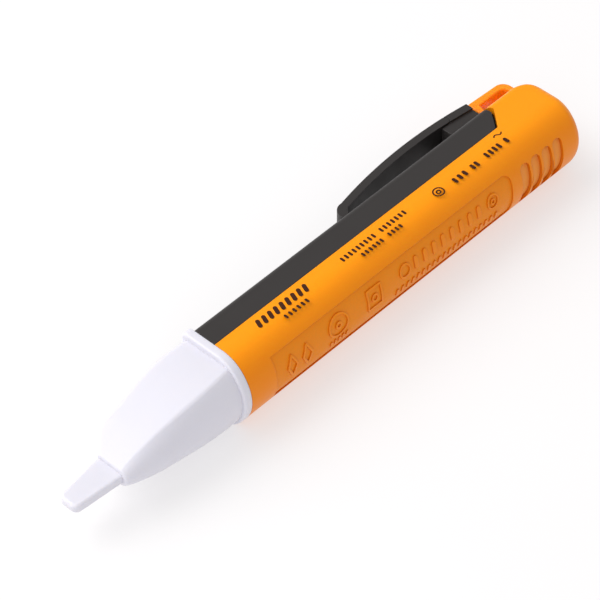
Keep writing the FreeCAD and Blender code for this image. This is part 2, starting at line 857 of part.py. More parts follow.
def carrier_shell(body):
    """An upside-down channel. Its lips reach down inside the sleeve and carry keys."""
    inside = "(half_thickness - rail_wall)"
    lip_outer = "(half_thickness - sleeve_wall - slide_gap)"
    lip_inner = f"({lip_outer} - lip_thickness)"
    roof = "(top_height - rail_wall)"
    foot = "(split_height + seam)"
    key_out = "(half_thickness - sleeve_wall + key_depth - key_gap)"
    key_low = "(key_low + key_gap)"
    key_high = "(key_high - key_gap)"
    right = [
        ("top_height", "half_thickness - ridge_round", "ridge_round"),
        ("top_height - ridge_round", "half_thickness"),
        (foot, "half_thickness"),
        (foot, lip_outer),
        (key_high, lip_outer),
        (key_high, key_out),
        (key_low, key_out),
        (key_low, lip_outer),
        ("-lip_low", lip_outer),
        ("-lip_low", lip_inner),
        ("shelf_height", lip_inner),
        ("shelf_height", inside),
        (roof, inside),
    ]
    left = [(point[0], f"-({point[1]})") for point in reversed(right)]
    left[-2] = left[-2] + ("ridge_round",)
    shell = outline(body, "shell", "YZ_Plane", "collar_rear + seam", right + left)
    pad(body, shell, "rail_rear - collar_rear - seam")
    high = "(top_height + overshoot)"
    beyond = "(rail_rear + overshoot)"
    end = [
        ("rail_foot", "split_height"),
        (beyond, "split_height"),
        (beyond, high),
        ("rail_top", high),
        ("rail_top", "top_height", "-rail_round"),
        ("rail_rear", "rail_knee"),
    ]
    pocket(body, outline(body, "rail_end", "XY_Plane", "0", end), "4 * half_thickness", True)


def cross_plate(body, name, place, thickness):
    """A plate across the pen that clears the sleeve and joins the shell."""
    inset = "(sleeve_wall + slide_gap)"
    points = casing_section(inset, "(ridge_round / 2)", "(top_height - rail_wall / 2)")
    return pad(body, outline(body, name, "YZ_Plane", place, points), thickness)


def spigot_section(inset):
    """The spigot's section, moved inwards."""
    return section(f"(spigot_high - {inset})", f"(spigot_low - {inset})",
                   f"(spigot_half - {inset})", f"(spigot_ridge - {inset} / 2)", "0",
                   f"(spigot_corner - {inset})")


def carrier_front(body):
    """Front plate, hollow spigot for the tip, the board's tray with two bosses, cell wall."""
    cross_plate(body, "front_plate", "collar_rear + seam", "front_plate")
    spigot = spigot_section("0")
    pad(body, outline(body, "spigot", "YZ_Plane", "spigot_front", spigot),
        "collar_rear + seam - spigot_front + front_plate / 2")
    window = spigot_section("spigot_wall")
    pocket(body, outline(body, "window", "YZ_Plane", "spigot_front - overshoot", window),
           "collar_rear + seam + front_plate - spigot_front + 2 * overshoot")
    cross_plate(body, "cell_wall", "cell_wall_front", "cell_wall")
    tray = rectangle(body, "tray", "XY_Plane", "-tray_low",
                     ("tray_front", "-tray_half"), ("cell_wall_front + merge", "tray_half"))
    pad(body, tray, "tray_sheet")
    for name in ("front", "rear"):
        place = f"screw_{name}"
        boss = circles(body, f"boss_{name}", "XY_Plane", "-tray_low + tray_sheet / 2",
                       [(place, "0", "boss_radius")])
        pad(body, boss, "tray_low - tray_sheet / 2 - board_thickness / 2")
        pilot = circles(body, f"pilot_{name}", "XY_Plane",
                        "board_thickness / 2 - screw_length - pilot_spare",
                        [(place, "0", "screw_radius")])
        pocket(body, pilot, "screw_length")
    passage = rectangle(body, "contact_passage", "XY_Plane", "board_thickness / 2 - contact_face_gap",
                        ("cell_wall_front - overshoot", "contact_tab_low - contact_side_gap"),
                        ("cell_wall_front + cell_wall + seam",
                         "contact_tab_high + contact_side_gap"))
    pocket(body, passage, "contact_sheet + 2 * contact_face_gap")
    strip_hole = rectangle(body, "strip_passage", "XY_Plane", "-strip_half - seam",
                           ("cell_wall_front - seam", "strip_height - 2 * contact_sheet"),
                           ("cell_wall_front + cell_wall + seam", "strip_height + seam"))
    pocket(body, strip_hole, "2 * (strip_half + seam)")


def carrier_ribs(body):
    """Cradle ribs over the cells, with a saddle for the cells and a notch for the strip."""
    radius = "(cell_radius + rib_cell_gap)"
    wing = "(half_thickness - rail_wall + rib_merge)"
    lip = "(half_thickness - sleeve_wall - slide_gap - lip_thickness / 2)"
    roof = "(top_height - rail_wall / 2)"
    shoulder = "(shelf_height + rib_shoulder_gap)"
    notch_low = f"(cell_axis + sqrt({radius} ^ 2 - (strip_half + seam) ^ 2))"
    points = [
        (roof, f"-{wing}"),
        (roof, wing),
        (shoulder, wing),
        (shoulder, lip),
        ("cell_axis", lip),
        ("cell_axis", radius, f"-{radius}"),
        (notch_low, "strip_half + seam"),
        ("strip_height + seam", "strip_half + seam"),
        ("strip_height + seam", "-(strip_half + seam)"),
        (notch_low, "-(strip_half + seam)", f"-{radius}"),
        ("cell_axis", f"-{radius}"),
        ("cell_axis", f"-{lip}"),
        (shoulder, f"-{lip}"),
        (shoulder, f"-{wing}"),
    ]
    rib = pad(body, outline(body, "rib", "YZ_Plane", "rib_first", points), "rib_sheet")
    repeat(body, rib, "X_Axis", "rib_pitch * (rib_count - 1)", "rib_count")


def carrier_tail(body):
    """The tail under the sleeve's closed end: two sides, a roof and the rear cell wall."""
    inner = "(tail_half - tail_side)"
    points = [
        ("tail_high", "-tail_half"),
        ("tail_high", "tail_half"),
        ("-tail_low", "tail_half"),
        ("-tail_low", inner),
        ("tail_high - tail_roof", inner),
        ("tail_high - tail_roof", f"-{inner}"),
        ("-tail_low", f"-{inner}"),
        ("-tail_low", "-tail_half"),
    ]
    pad(body, outline(body, "tail", "YZ_Plane", "tail_front", points), "tail_rear - tail_front")
    wall = rectangle(body, "tail_wall", "YZ_Plane", "tail_wall_front",
                     ("-tail_low", "-tail_half"), ("tail_high", "tail_half"))
    pad(body, wall, "tail_rear - tail_wall_front")


def carrier_block(body):
    """The block behind the clip: a narrow pillar under the rear end of the arched sheet, with
    a round seat for the clip's root."""
    foot = "(tail_high - tail_roof / 2)"
    pillar = [
        ("block_front", foot),
        ("block_rear", foot),
        ("block_rear", arch_height("block_rear", "clip_sheet / 2")),
        ("block_front", arch_height("block_front", "clip_sheet / 2 + seam")),
    ]
    pad(body, outline(body, "pillar", "XY_Plane", "0", pillar), "2 * block_half", symmetric=True)
    cap = [
        ("clip_pivot", arch_height("clip_pivot", "clip_sheet")),
        ("block_rear", arch_height("block_rear", "clip_sheet")),
        ("block_rear", arch_height("block_rear"), "clip_arch"),
        ("clip_pivot", arch_height("clip_pivot")),
    ]
    pad(body, outline(body, "cap", "XY_Plane", "0", cap), "2 * clip_half", symmetric=True)
    clear = "(clip_half + overshoot)"
    seat = circles(body, "clip_seat", "XY_Plane", "0",
                   [("clip_pivot", arch_height("clip_pivot", "clip_sheet / 2"),
                     "clip_sheet / 2 + clip_seat_gap")])
    pocket(body, seat, f"2 * {clear}", symmetric=True)
    swing = [
        ("block_front - overshoot", arch_height("block_front", "clip_sheet + clip_seat_gap")),
        ("clip_pivot", arch_height("clip_pivot", "clip_sheet + clip_seat_gap")),
        ("clip_pivot", "clip_top + overshoot"),
        ("block_front - overshoot", "clip_top + overshoot"),
    ]
    pocket(body, outline(body, "clip_room", "XY_Plane", "0", swing), f"2 * {clear}", True)


def pocket_clip():
    """A springy arched arm with a rounded nose and a foot that bears on the rail's top."""
    body = new_body("pocket_clip")
    inner = "(clip_arch - clip_sheet)"
    foot_low = "(top_height + clip_foot_gap)"
    foot_rear = "(clip_nose + clip_foot_sheet)"
    shoulder = "clip_nose_shoulder + clip_hollow_shoulder"
    middle = arch_height("clip_pivot", "clip_sheet / 2")
    points = [
        ("clip_pivot", f"{middle} + clip_sheet / 2", "clip_arch"),
        ("clip_nose_shoulder", arch_height("clip_nose_shoulder"), "clip_nose_round"),
        ("clip_nose", "clip_nose_height - clip_nose_drop"),
        ("clip_nose + clip_foot_draw", f"{foot_low} + clip_foot_front_round",
         "clip_foot_front_round"),
        ("clip_nose + clip_foot_draw + clip_foot_front_round", foot_low),
        (f"{foot_rear} - clip_foot_rear_reach", foot_low, "clip_foot_rear_round"),
        (foot_rear, f"{foot_low} + clip_foot_rear_round"),
        (foot_rear, "clip_nose_height - clip_hollow_drop", "-clip_hollow_round"),
        (shoulder, arch_height(shoulder, "clip_sheet"), f"-{inner}"),
        ("clip_pivot", f"{middle} - clip_sheet / 2", "clip_sheet / 2"),
        ("clip_pivot + clip_sheet / 2", middle, "clip_sheet / 2"),
    ]
    arm = outline(body, "arm", "XY_Plane", "0", points)
    pad(body, arm, "2 * clip_half", symmetric=True)
    return finish(body)


# ---------------------------------------------------------------- board and electronics

BOARD_TOP = "(board_thickness / 2)"


def circuit_board():
    """A narrow board with a slimmer nose and two screw holes."""
    body = new_body("circuit_board")
    points = [
        ("board_front", "-board_nose_half"),
        ("board_shoulder", "-board_half"),
        ("board_rear", "-board_half"),
        ("board_rear", "board_half"),
        ("board_shoulder", "board_half"),
        ("board_front", "board_nose_half"),
    ]
    pad(body, outline(body, "board", "XY_Plane", "0", points), "board_thickness", symmetric=True)
    rounds = [(place, "0", "screw_radius + screw_hole_gap") for place in ("screw_front", "screw_rear")]
    holes = circles(body, "board_holes", "XY_Plane", "0", rounds)
    pocket(body, holes, "2 * board_thickness", symmetric=True)
    return finish(body)


def sense_electrode():
    """A metal strip in the blade that steps down to the underside of the board."""
    body = new_body("sense_electrode")
    half = "(electrode_sheet / 2)"
    low = "(-board_thickness / 2 - electrode_sheet)"
    points = [
        ("electrode_front", f"-{half}"),
        ("electrode_bend", f"-{half}"),
        ("electrode_bend + electrode_step", low),
        ("electrode_rear", low),
        ("electrode_rear", f"{low} + electrode_sheet"),
        ("electrode_bend + electrode_step + electrode_sheet", f"{low} + electrode_sheet"),
        ("electrode_bend + electrode_sheet", half),
        ("electrode_front", half),
    ]
    strip = outline(body, "electrode", "XZ_Plane", "0", points)
    pad(body, strip, "2 * electrode_half", symmetric=True)
    return finish(body)


def indicator_led():
    """A lamp with a domed nose and a flange, pointing at the blade."""
    body = new_body("indicator_led")
    points = [
        ("lamp_front", "0"),
        ("lamp_rear", "0"),
        ("lamp_rear", "lamp_flange_radius"),
        ("lamp_body_rear", "lamp_flange_radius"),
        ("lamp_body_rear", "lamp_radius"),
        ("lamp_front + lamp_radius", "lamp_radius", "lamp_radius"),
    ]
    spin(body, outline(body, "lamp", "XY_Plane", "lamp_axis", points))
    return finish(body)


def led_leads():
    """Two wire leads, each straight back from the lamp and then down to the board."""
    pieces = []
    for name, sign in (("upper", "1"), ("lower", "-1")):
        side = f"{sign} * lead_offset"
        run = rod(f"lead_run_{name}", ("lamp_rear", side, "lamp_axis"), "lead_radius",
                  "lead_bend - lamp_rear", "x")
        knee = doc.addObject("Part::Sphere", f"lead_knee_{name}")
        bind(knee, "Radius", "lead_radius")
        for axis, place in zip("xyz", ("lead_bend", side, "lamp_axis")):
            bind(knee, f"Placement.Base.{axis}", place)
        drop = rod(f"lead_drop_{name}", ("lead_bend", side, BOARD_TOP), "lead_radius",
                   f"lamp_axis - {BOARD_TOP}")
        pieces.append(fused(f"lead_{name}", [run, knee, drop]))
    return finish(group("led_leads", pieces))


def logic_chip():
    """The moulded body of the chip, with a chamfered first-leg edge."""
    body = new_body("logic_chip")
    floor = f"({BOARD_TOP} + chip_standoff)"
    points = [
        ("-chip_width / 2", floor),
        ("chip_width / 2", floor),
        ("chip_width / 2", f"{floor} + chip_height"),
        ("-chip_width / 2 + chip_chamfer", f"{floor} + chip_height"),
        ("-chip_width / 2", f"{floor} + chip_height - chip_chamfer"),
    ]
    sketch = outline(body, "chip", "YZ_Plane", "chip_centre - chip_length / 2", points)
    pad(body, sketch, "chip_length")
    return finish(body)


LEGS_PER_SIDE = 4


def chip_legs():
    """Bent legs on both long sides of the chip, like a gull's wings."""
    pieces = []
    middle = f"({BOARD_TOP} + chip_standoff + chip_height / 2)"
    for side in (1, -1):
        for index in range(LEGS_PER_SIDE):
            x = f"(chip_centre + {index - (LEGS_PER_SIDE - 1) / 2} * leg_pitch - leg_width / 2)"
            near = "(chip_width / 2)"
            knee = f"({near} + leg_sheet * 2)"
            toe = f"({near} + leg_reach)"
            spans = [
                (near, knee, middle, f"{middle} + leg_sheet"),
                (f"{knee} - leg_sheet", knee, BOARD_TOP, f"{middle} + leg_sheet / 2"),
                (f"{knee} - leg_sheet / 2", toe, BOARD_TOP, f"{BOARD_TOP} + leg_sheet"),
            ]
            boxes = []
            leg = f"leg_{'near' if side > 0 else 'far'}_{index}"
            for part, (start, stop, low, high) in enumerate(spans):
                span = (start, stop) if side > 0 else (f"-({stop})", f"-({start})")
                boxes.append(box(f"{leg}_{part}", (x, span[0], low),
                                 (f"{x} + leg_width", span[1], high)))
            pieces.append(fused(leg, boxes))
    return finish(group("chip_legs", pieces))


def transistor():
    """A small moulded package with two legs on one side and one on the other."""
    x, y = "transistor_x", "transistor_y"
    case = box("transistor_case",
               (f"{x} - small_case / 2", f"{y} - small_case", f"{BOARD_TOP} + small_case_gap"),
               (f"{x} + small_case / 2", f"{y} + small_case", f"{BOARD_TOP} + small_case"))
    legs = []
    for index, (side, shift) in enumerate(((-1, -1), (-1, 1), (1, 0))):
        start = f"{y} + {shift} * small_leg_shift - leg_width / 2"
        near = f"{x} + {side} * small_case / 2"
        away = f"{x} + {side} * (small_case / 2 + small_leg_reach)"
        span = (away, near) if side < 0 else (near, away)
        legs.append(box(f"transistor_leg_{index}", (span[0], start, BOARD_TOP),
                        (span[1], f"{start} + leg_width", f"{BOARD_TOP} + small_leg_sheet")))
    return finish(group("transistor", [fused("transistor_piece", [case] + legs)]))


def chips_on_pads(label, places, length, width, height):
    """Small block components, each a separate solid standing on the board."""
    pieces = []
    for index, (x, y) in enumerate(places):
        low = (f"{x} - {length} / 2", f"{y} - {width} / 2", BOARD_TOP)
        high = (f"{x} + {length} / 2", f"{y} + {width} / 2", f"{BOARD_TOP} + {height}")
        pieces.append(box(f"{label}_{index}", low, high))
    return finish(group(label, pieces))


RESISTORS_PER_SIDE = 3


def chip_resistors():
    places = []
    for side in (-1, 1):
        for step in range(RESISTORS_PER_SIDE):
            places.append(("resistor_column", f"{side} * (resistor_first + {step} * resistor_pitch)"))
    return chips_on_pads("chip_resistors", places, "resistor_length", "resistor_width",
                         "resistor_height")


def chip_capacitors():
    places = [("capacitor_front", "capacitor_side"), ("capacitor_rear", "capacitor_side"),
              ("capacitor_rear", "-capacitor_side")]
    return chips_on_pads("chip_capacitors", places, "capacitor_length", "capacitor_width",
                         "capacitor_height")


def buzzer_housing():
    """A round sounder case, hollow below, with a sound hole in its lid."""
    body = new_body("buzzer_housing")
    at = [("buzzer_centre", "buzzer_side", "buzzer_radius")]
    pad(body, circles(body, "buzzer", "XY_Plane", BOARD_TOP, at), "buzzer_height")
    rim = number(f"{BOARD_TOP} + buzzer_height")
    soften(body, "buzzer_rim_round", lambda points: all(abs(p.z - rim) < NEAR for p in points))
    room = [("buzzer_centre", "buzzer_side", "buzzer_disc_radius + seam")]
    pocket(body, circles(body, "buzzer_room", "XY_Plane", BOARD_TOP, room),
           "buzzer_height / 2 + buzzer_disc_sheet")
    chamber = [("buzzer_centre", "buzzer_side", "buzzer_disc_radius - buzzer_ledge")]
    pocket(body, circles(body, "buzzer_chamber", "XY_Plane", BOARD_TOP, chamber),
           "buzzer_height - buzzer_lid")
    hole = [("buzzer_centre", "buzzer_side", "buzzer_hole")]
    pocket(body, circles(body, "buzzer_port", "XY_Plane", BOARD_TOP, hole),
           "buzzer_height + overshoot")
    return finish(body)


def buzzer_disc():
    """The thin metal plate that vibrates inside the sounder case."""
    disc = rod("disc", ("buzzer_centre", "buzzer_side", f"{BOARD_TOP} + buzzer_height / 2"),
               "buzzer_disc_radius", "buzzer_disc_sheet")
    return finish(group("buzzer_disc", [disc]))


def board_screws():
    """Two pan head screws through the board into the tray's bosses."""
    pieces = []
    for name in ("front", "rear"):
        place = f"screw_{name}"
        shank = rod(f"shank_{name}", (place, "0", f"{BOARD_TOP} - screw_length + screw_tip_gap"),
                    "screw_radius - screw_fit", "screw_length - screw_tip_gap")
        head = rod(f"head_{name}", (place, "0", BOARD_TOP), "screw_head_radius",
                   "screw_head_height")
        crown = f"{BOARD_TOP} + screw_head_height"
        slots = []
        sides = ("screw_slot_length", "screw_slot_width")
        for turn, (along, across) in enumerate((sides, sides[::-1])):
            low = (f"{place} - {along} / 2", f"-{across} / 2", f"{crown} - screw_slot_depth")
            high = (f"{place} + {along} / 2", f"{across} / 2", f"{crown} + overshoot")
            slots.append(box(f"slot_{name}_{turn}", low, high))
        whole = fused(f"screw_whole_{name}", [shank, head])
        cross = fused(f"screw_cross_{name}", slots)
        pieces.append(cut(f"screw_{name}", whole, cross))
    return finish(group("board_screws", pieces))


# ---------------------------------------------------------------- cells and contacts

def cell_start(index):
    return f"(cell_start + {index} * cell_length)"


def cell_can(label, index):
    """The metal can of a cell, with its nub towards the board."""
    body = new_body(label)
    radius = "(cell_radius - cell_film - cell_film_gap)"
    nub_base = f"({cell_start(index)} + cell_nub_length)"
    end = f"({cell_start(index)} + cell_length)"
    points = [
        (cell_start(index), "0"),
        (end, "0"),
        (end, f"{radius} - cell_edge_round", "cell_edge_round"),
        (f"{end} - cell_edge_round", radius),
        (f"{nub_base} + cell_edge_round", radius, "cell_edge_round"),
        (nub_base, f"{radius} - cell_edge_round"),
        (nub_base, "cell_nub_radius"),
        (f"{cell_start(index)} + cell_nub_round", "cell_nub_radius", "cell_nub_round"),
        (cell_start(index), "cell_nub_radius - cell_nub_round"),
    ]
    spin(body, outline(body, f"{label}_half", "XY_Plane", "0", points, lift="cell_axis"))
    return finish(body)


def cell_jacket(label, index):
    """The printed film around a cell's can."""
    body = new_body(label)
    outer = "cell_radius"
    inner = "(cell_radius - cell_film)"
    start = f"({cell_start(index)} + cell_nub_length + cell_edge_round)"
    end = f"({cell_start(index)} + cell_length - cell_edge_round)"
    points = [(start, inner), (end, inner), (end, outer), (start, outer)]
    spin(body, outline(body, f"{label}_half", "XY_Plane", "0", points, lift="cell_axis"))
    return finish(body)


def front_contact():
    """A plate against the front cell's nub, with a tab through the wall to the board."""
    body = new_body("front_contact")
    face = "(cell_wall_front + cell_wall)"
    plate = rectangle(body, "contact_plate", "YZ_Plane", face,
                      ("cell_axis - contact_half", "-contact_half"),
                      ("contact_tab_high", "contact_half"))
    pad(body, plate, "contact_sheet")
    tab = rectangle(body, "contact_tab", "XY_Plane", BOARD_TOP,
                    ("board_rear - contact_tab_reach", "contact_tab_low"),
                    (f"{face} + contact_sheet", "contact_tab_high"))
    pad(body, tab, "contact_sheet")
    return finish(body)


def return_contact():
    """The plate behind the rear spring, and the strip that runs back over the cells to the
    edge of the board."""
    body = new_body("return_contact")
    low = "(strip_height - contact_sheet)"
    start = "(board_rear - contact_tab_reach)"
    face = "tail_wall_front"
    points = [
        (start, "board_half"),
        (f"{start} + contact_sheet", "board_half"),
        (f"{start} + contact_sheet", low),
        (f"{face} - contact_sheet", low),
        (f"{face} - contact_sheet", "cell_axis - contact_half"),
        (face, "cell_axis - contact_half"),
        (face, "strip_height"),
        (start, "strip_height"),
    ]
    strip = outline(body, "return_strip", "XY_Plane", "0", points)
    pad(body, strip, "2 * strip_half", symmetric=True)
    return finish(body)


def rear_spring():
    """A coil of round wire between the return contact and the rear cell."""
    body = new_body("rear_spring")
    start = f"({cell_start(2)} + spring_wire)"
    span = f"(tail_wall_front - contact_sheet - {cell_start(2)} - 2 * spring_wire)"
    wire = circles(body, "spring_section", "XY_Plane", "0",
                   [(f"{start} + spring_end_gap", "spring_radius", "spring_wire")], lift="cell_axis")
    helix = body.newObject("PartDesign::AdditiveHelix", "spring_helix")
    helix.Profile = wire
    helix.ReferenceAxis = (wire, ["H_Axis"])
    helix.Mode = "height-turns-angle"
    bind(helix, "Height", f"{span} - 2 * spring_end_gap")
    bind(helix, "Turns", "spring_turns")
    settled(helix)
    return finish(body)


# ---------------------------------------------------------------- build

def main():
    sensor_tip()
    sleeve()
    release_latch()
    carrier()
    pocket_clip()
    circuit_board()
    sense_electrode()
    indicator_led()
    led_leads()
    logic_chip()
    chip_legs()
    transistor()
    chip_resistors()
    chip_capacitors()
    buzzer_housing()
    buzzer_disc()
    board_screws()
    front_contact()
    return_contact()
    rear_spring()
    for index, place in enumerate(("front", "rear")):
        cell_can(f"{place}_cell_can", index)
        cell_jacket(f"{place}_cell_jacket", index)
    export()


def export():
    """Check every object, then write each sub-part to its own file."""
    doc.recompute()
    for item in doc.Objects:
        if "Invalid" in item.State or "Error" in item.State:
            raise RuntimeError(f"{item.Name} is {item.State}")
    for part in SUBPARTS:
        if part.Shape.isNull() or not part.Shape.isValid():
            raise RuntimeError(f"{part.Label} has no valid shape")
    os.makedirs("parts", exist_ok=True)
    for part in SUBPARTS:
        part.Shape.exportStep(f"parts/{part.Label}.step")
        bounds = part.Shape.BoundBox
        print(f"{part.Label}: {len(part.Shape.Solids)} solids, {part.Shape.Volume:.1f} mm3,"
              f" z {bounds.ZMin:.2f} to {bounds.ZMax:.2f}")


main()
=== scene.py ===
"""Finishes, moulded and printed marks, light and camera for the non contact voltage tester."""

import math

import bpy
from mathutils import Matrix, Vector


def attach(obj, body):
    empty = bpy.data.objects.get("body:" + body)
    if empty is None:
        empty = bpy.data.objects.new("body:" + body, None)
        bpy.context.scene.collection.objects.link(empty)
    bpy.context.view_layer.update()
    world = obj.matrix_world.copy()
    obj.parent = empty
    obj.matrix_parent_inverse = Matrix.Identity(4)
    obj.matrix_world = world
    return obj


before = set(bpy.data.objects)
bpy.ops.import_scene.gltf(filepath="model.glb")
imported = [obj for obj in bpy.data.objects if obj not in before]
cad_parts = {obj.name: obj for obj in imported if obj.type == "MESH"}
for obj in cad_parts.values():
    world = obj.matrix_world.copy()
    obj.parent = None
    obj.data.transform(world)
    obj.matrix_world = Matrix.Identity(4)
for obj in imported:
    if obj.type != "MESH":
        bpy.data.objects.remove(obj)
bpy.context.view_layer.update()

MM = 0.001

SQUARE = ((-1, -1), (1, -1), (1, 1), (-1, 1))  # a square's corners in order

# ---------------------------------------------------------------- where things are

# The pen's own axes, in millimetres: x runs from the blade to the rear end, y from the belly to
# the clip, and z across the flat sides with 0 in the middle. PEN_ORIGIN is where they start in the
# row frame.
PEN_ORIGIN = Vector((-75.4, -4.55, 9.75))

SIDE_FACE = 9.75  # z of the printed flat side
FLOOR_CENTRE = 3.11  # y of the axis of the long recess's curved floor
FLOOR_RADIUS = 10.71
RECESSES_TOP = -4.0  # y that the long recess and the finger grooves stay below
RECESSES_REAR = 145.0  # x that they stay ahead of
CELL_LENGTH = 44.5


def at(x, y, z):
    """A point in the row frame, in metres, from the pen's axes in millimetres."""
    return (PEN_ORIGIN + Vector((x, y, z))) * MM


# ---------------------------------------------------------------- building finishes

BAND_SPACING = math.pi / 10  # how far apart a wave texture's bands are at scale 1
# The cosine of the angle between a rounded edge's normal and its face's, where an edge starts to
# count as one and where it does so fully.
EDGE_FROM, EDGE_FULL = 0.995, 0.86


class Finish:
    """A material being made: a Principled shader and the nodes that feed it. Lengths are in
    millimetres."""

    def __init__(self, name):
        self.material = bpy.data.materials.new(name)
        self.material.use_nodes = True
        self.tree = self.material.node_tree
        self.tree.nodes.clear()
        output = self.add("ShaderNodeOutputMaterial")
        self.shader = self.add("ShaderNodeBsdfPrincipled")
        self.feed(output.inputs["Surface"], self.shader.outputs["BSDF"])
        self.place = self.add("ShaderNodeTexCoord").outputs["Object"]
        self.normal = None

    def add(self, kind, **settings):
        node = self.tree.nodes.new(kind)
        for key, value in settings.items():
            setattr(node, key, value)
        return node

    def feed(self, socket, value):
        """Links or sets an input."""
        if isinstance(value, bpy.types.NodeSocket):
            self.tree.links.new(value, socket)
        else:
            socket.default_value = value

    def plain(self, **values):
        """Sets numbers and colours that are the same all over on the shader's own sockets."""
        for key, value in values.items():
            self.shader.inputs[key.replace("_", " ")].default_value = value

    def scaled(self, size, stretch=(1, 1, 1)):
        """Coordinates in which a pattern cell is size across, times stretch along each axis."""
        mapping = self.add("ShaderNodeMapping")
        self.feed(mapping.inputs["Vector"], self.place)
        mapping.inputs["Scale"].default_value = [1 / (size * MM * s) for s in stretch]
        return mapping.outputs["Vector"]

    def noise(self, size, detail=2.0, stretch=(1, 1, 1), rough=0.5):
        """Noise from about 0 to 1 with blotches about size across."""
        texture = self.add("ShaderNodeTexNoise")
        self.feed(texture.inputs["Vector"], self.scaled(size, stretch))
        self.feed(texture.inputs["Scale"], 1.0)
        self.feed(texture.inputs["Detail"], detail)
        self.feed(texture.inputs["Roughness"], rough)
        return texture.outputs["Fac"]

    def cells(self, size, feature="F1"):
        """Distance to the nearest of scattered points about size apart."""
        texture = self.add("ShaderNodeTexVoronoi", feature=feature)
        self.feed(texture.inputs["Vector"], self.scaled(size))
        self.feed(texture.inputs["Scale"], 1.0)
        return texture.outputs["Distance"]

    def bands(self, size, axis="X", waviness=0.0):
        """Soft stripes across an axis, size apart."""
        texture = self.add("ShaderNodeTexWave", wave_type="BANDS", bands_direction=axis)
        self.feed(texture.inputs["Vector"], self.scaled(size))
        self.feed(texture.inputs["Scale"], BAND_SPACING)
        self.feed(texture.inputs["Distortion"], waviness)
        return texture.outputs["Fac"]

    def calc(self, operation, a, b=0.0):
        """The result of a maths node."""
        node = self.add("ShaderNodeMath", operation=operation)
        self.feed(node.inputs[0], a)
        self.feed(node.inputs[1], b)
        return node.outputs[0]

    def span(self, value, low, high, to_low=0.0, to_high=1.0):
        """Maps low..high onto to_low..to_high, and holds it there outside."""
        node = self.add("ShaderNodeMapRange")
        for socket, number in zip(node.inputs, (value, low, high, to_low, to_high)):
            self.feed(socket, number)
        return node.outputs[0]

    def mix(self, share, a, b):
        """Colour a where share is 0 and colour b where it is 1."""
        node = self.add("ShaderNodeMix", data_type="RGBA")
        self.feed(node.inputs[0], share)
        self.feed(node.inputs[6], a)
        self.feed(node.inputs[7], b)
        return node.outputs[2]

    def soften(self, radius):
        """Rounds the edges' shading by radius, and returns where the edges are, from 0 to 1."""
        bevel = self.add("ShaderNodeBevel", samples=6)
        self.feed(bevel.inputs["Radius"], radius * MM)
        faces = self.add("ShaderNodeNewGeometry").outputs["Normal"]
        dot = self.add("ShaderNodeVectorMath", operation="DOT_PRODUCT")
        self.feed(dot.inputs[0], bevel.outputs["Normal"])
        self.feed(dot.inputs[1], faces)
        self.normal = bevel.outputs["Normal"]
        return self.span(dot.outputs["Value"], EDGE_FROM, EDGE_FULL)

    def relief(self, height, depth):
        """Raises and lowers the surface by depth where height goes from 0 to 1."""
        bump = self.add("ShaderNodeBump")
        self.feed(bump.inputs["Height"], height)
        self.feed(bump.inputs["Distance"], depth * MM)
        if self.normal is not None:
            self.feed(bump.inputs["Normal"], self.normal)
        self.normal = bump.outputs["Normal"]

    def done(self, colour, roughness):
        """Connects the colour, the roughness and the normal, and returns the material."""
        self.feed(self.shader.inputs["Base Color"], colour)
        self.feed(self.shader.inputs["Roughness"], roughness)
        if self.normal is not None:
            self.feed(self.shader.inputs["Normal"], self.normal)
        return self.material


def rgb(red, green, blue):
    return (red, green, blue, 1.0)


def shade(colour, amount):
    """The colour times amount."""
    return tuple(c * amount for c in colour[:3]) + (1.0,)


def moulded(
    name, colour, edge, roughness, grain=0.18, grain_depth=0.006, edge_radius=0.18, variation=0.05
):
    """A moulded plastic: fine spark texture, faint flow marks, handled patches and paler edges.
    It returns the finish, its colour and its roughness, so that more can be added to them."""
    finish = Finish(name)
    edges = finish.soften(edge_radius)
    flow = finish.noise(9.0, detail=3.0, stretch=(3.0, 1.0, 1.0))
    tint = finish.mix(flow, shade(colour, 1 - variation), shade(colour, 1 + variation))
    specks = finish.span(finish.noise(0.45, detail=2.0), 0.66, 0.78)
    tint = finish.mix(finish.calc("MULTIPLY", specks, 0.10), tint, shade(colour, 0.7))
    chips = finish.span(finish.noise(1.1, detail=3.0), 0.42, 0.62)
    worn = finish.calc("MULTIPLY", edges, finish.calc("MULTIPLY", chips, 0.55))
    tint = finish.mix(worn, tint, edge)
    finish.relief(finish.noise(2.6, detail=2.0), 0.010)
    finish.relief(finish.noise(grain, detail=2.0), grain_depth)
    patches = finish.noise(6.0, detail=4.0)
    handled = finish.span(patches, 0.35, 0.7, roughness - 0.05, roughness + 0.06)
    gloss = finish.calc("SUBTRACT", handled, finish.calc("MULTIPLY", edges, 0.06))
    finish.plain(Specular_IOR_Level=0.32)
    return finish, tint, gloss


def moulded_solid(name, colour, edge, roughness, **details):
    """A moulded plastic that lets no light in."""
    finish, tint, gloss = moulded(name, colour, edge, roughness, **details)
    return finish.done(tint, gloss)


def translucent(name, colour, edge, roughness, depth, share, reach=(1.0, 0.9, 0.8), **details):
    """A moulded plastic that lets light in: depth is how far it goes, share is how much of the
    light does, and reach is how far each colour goes."""
    finish, tint, gloss = moulded(name, colour, edge, roughness, **details)
    finish.plain(Subsurface_Weight=share, Subsurface_Scale=depth * MM, Subsurface_Radius=reach)
    return finish.done(tint, gloss)


# How the sleeve's faces are told apart: by their depth below the long recess's floor, in
# millimetres. The belly's outside and the raised marks' tops are above it, at negative depths.
FLOOR_DEPTH = -0.05  # anything deeper is the long recess's floor or a finger groove
GROOVE_DEPTH = 0.40  # anything deeper is a groove's floor
WALL_DEPTHS = (("LESS_THAN", 0.38), ("GREATER_THAN", -0.27))  # walls lie between these depths
WALL_GAP = 0.06  # and at least this far above or below the long recess's floor
BELLY_SHADE_FROM, BELLY_SHADE_TO = -1.5, -6.5  # y between which painted shade darkens the orange under the belly
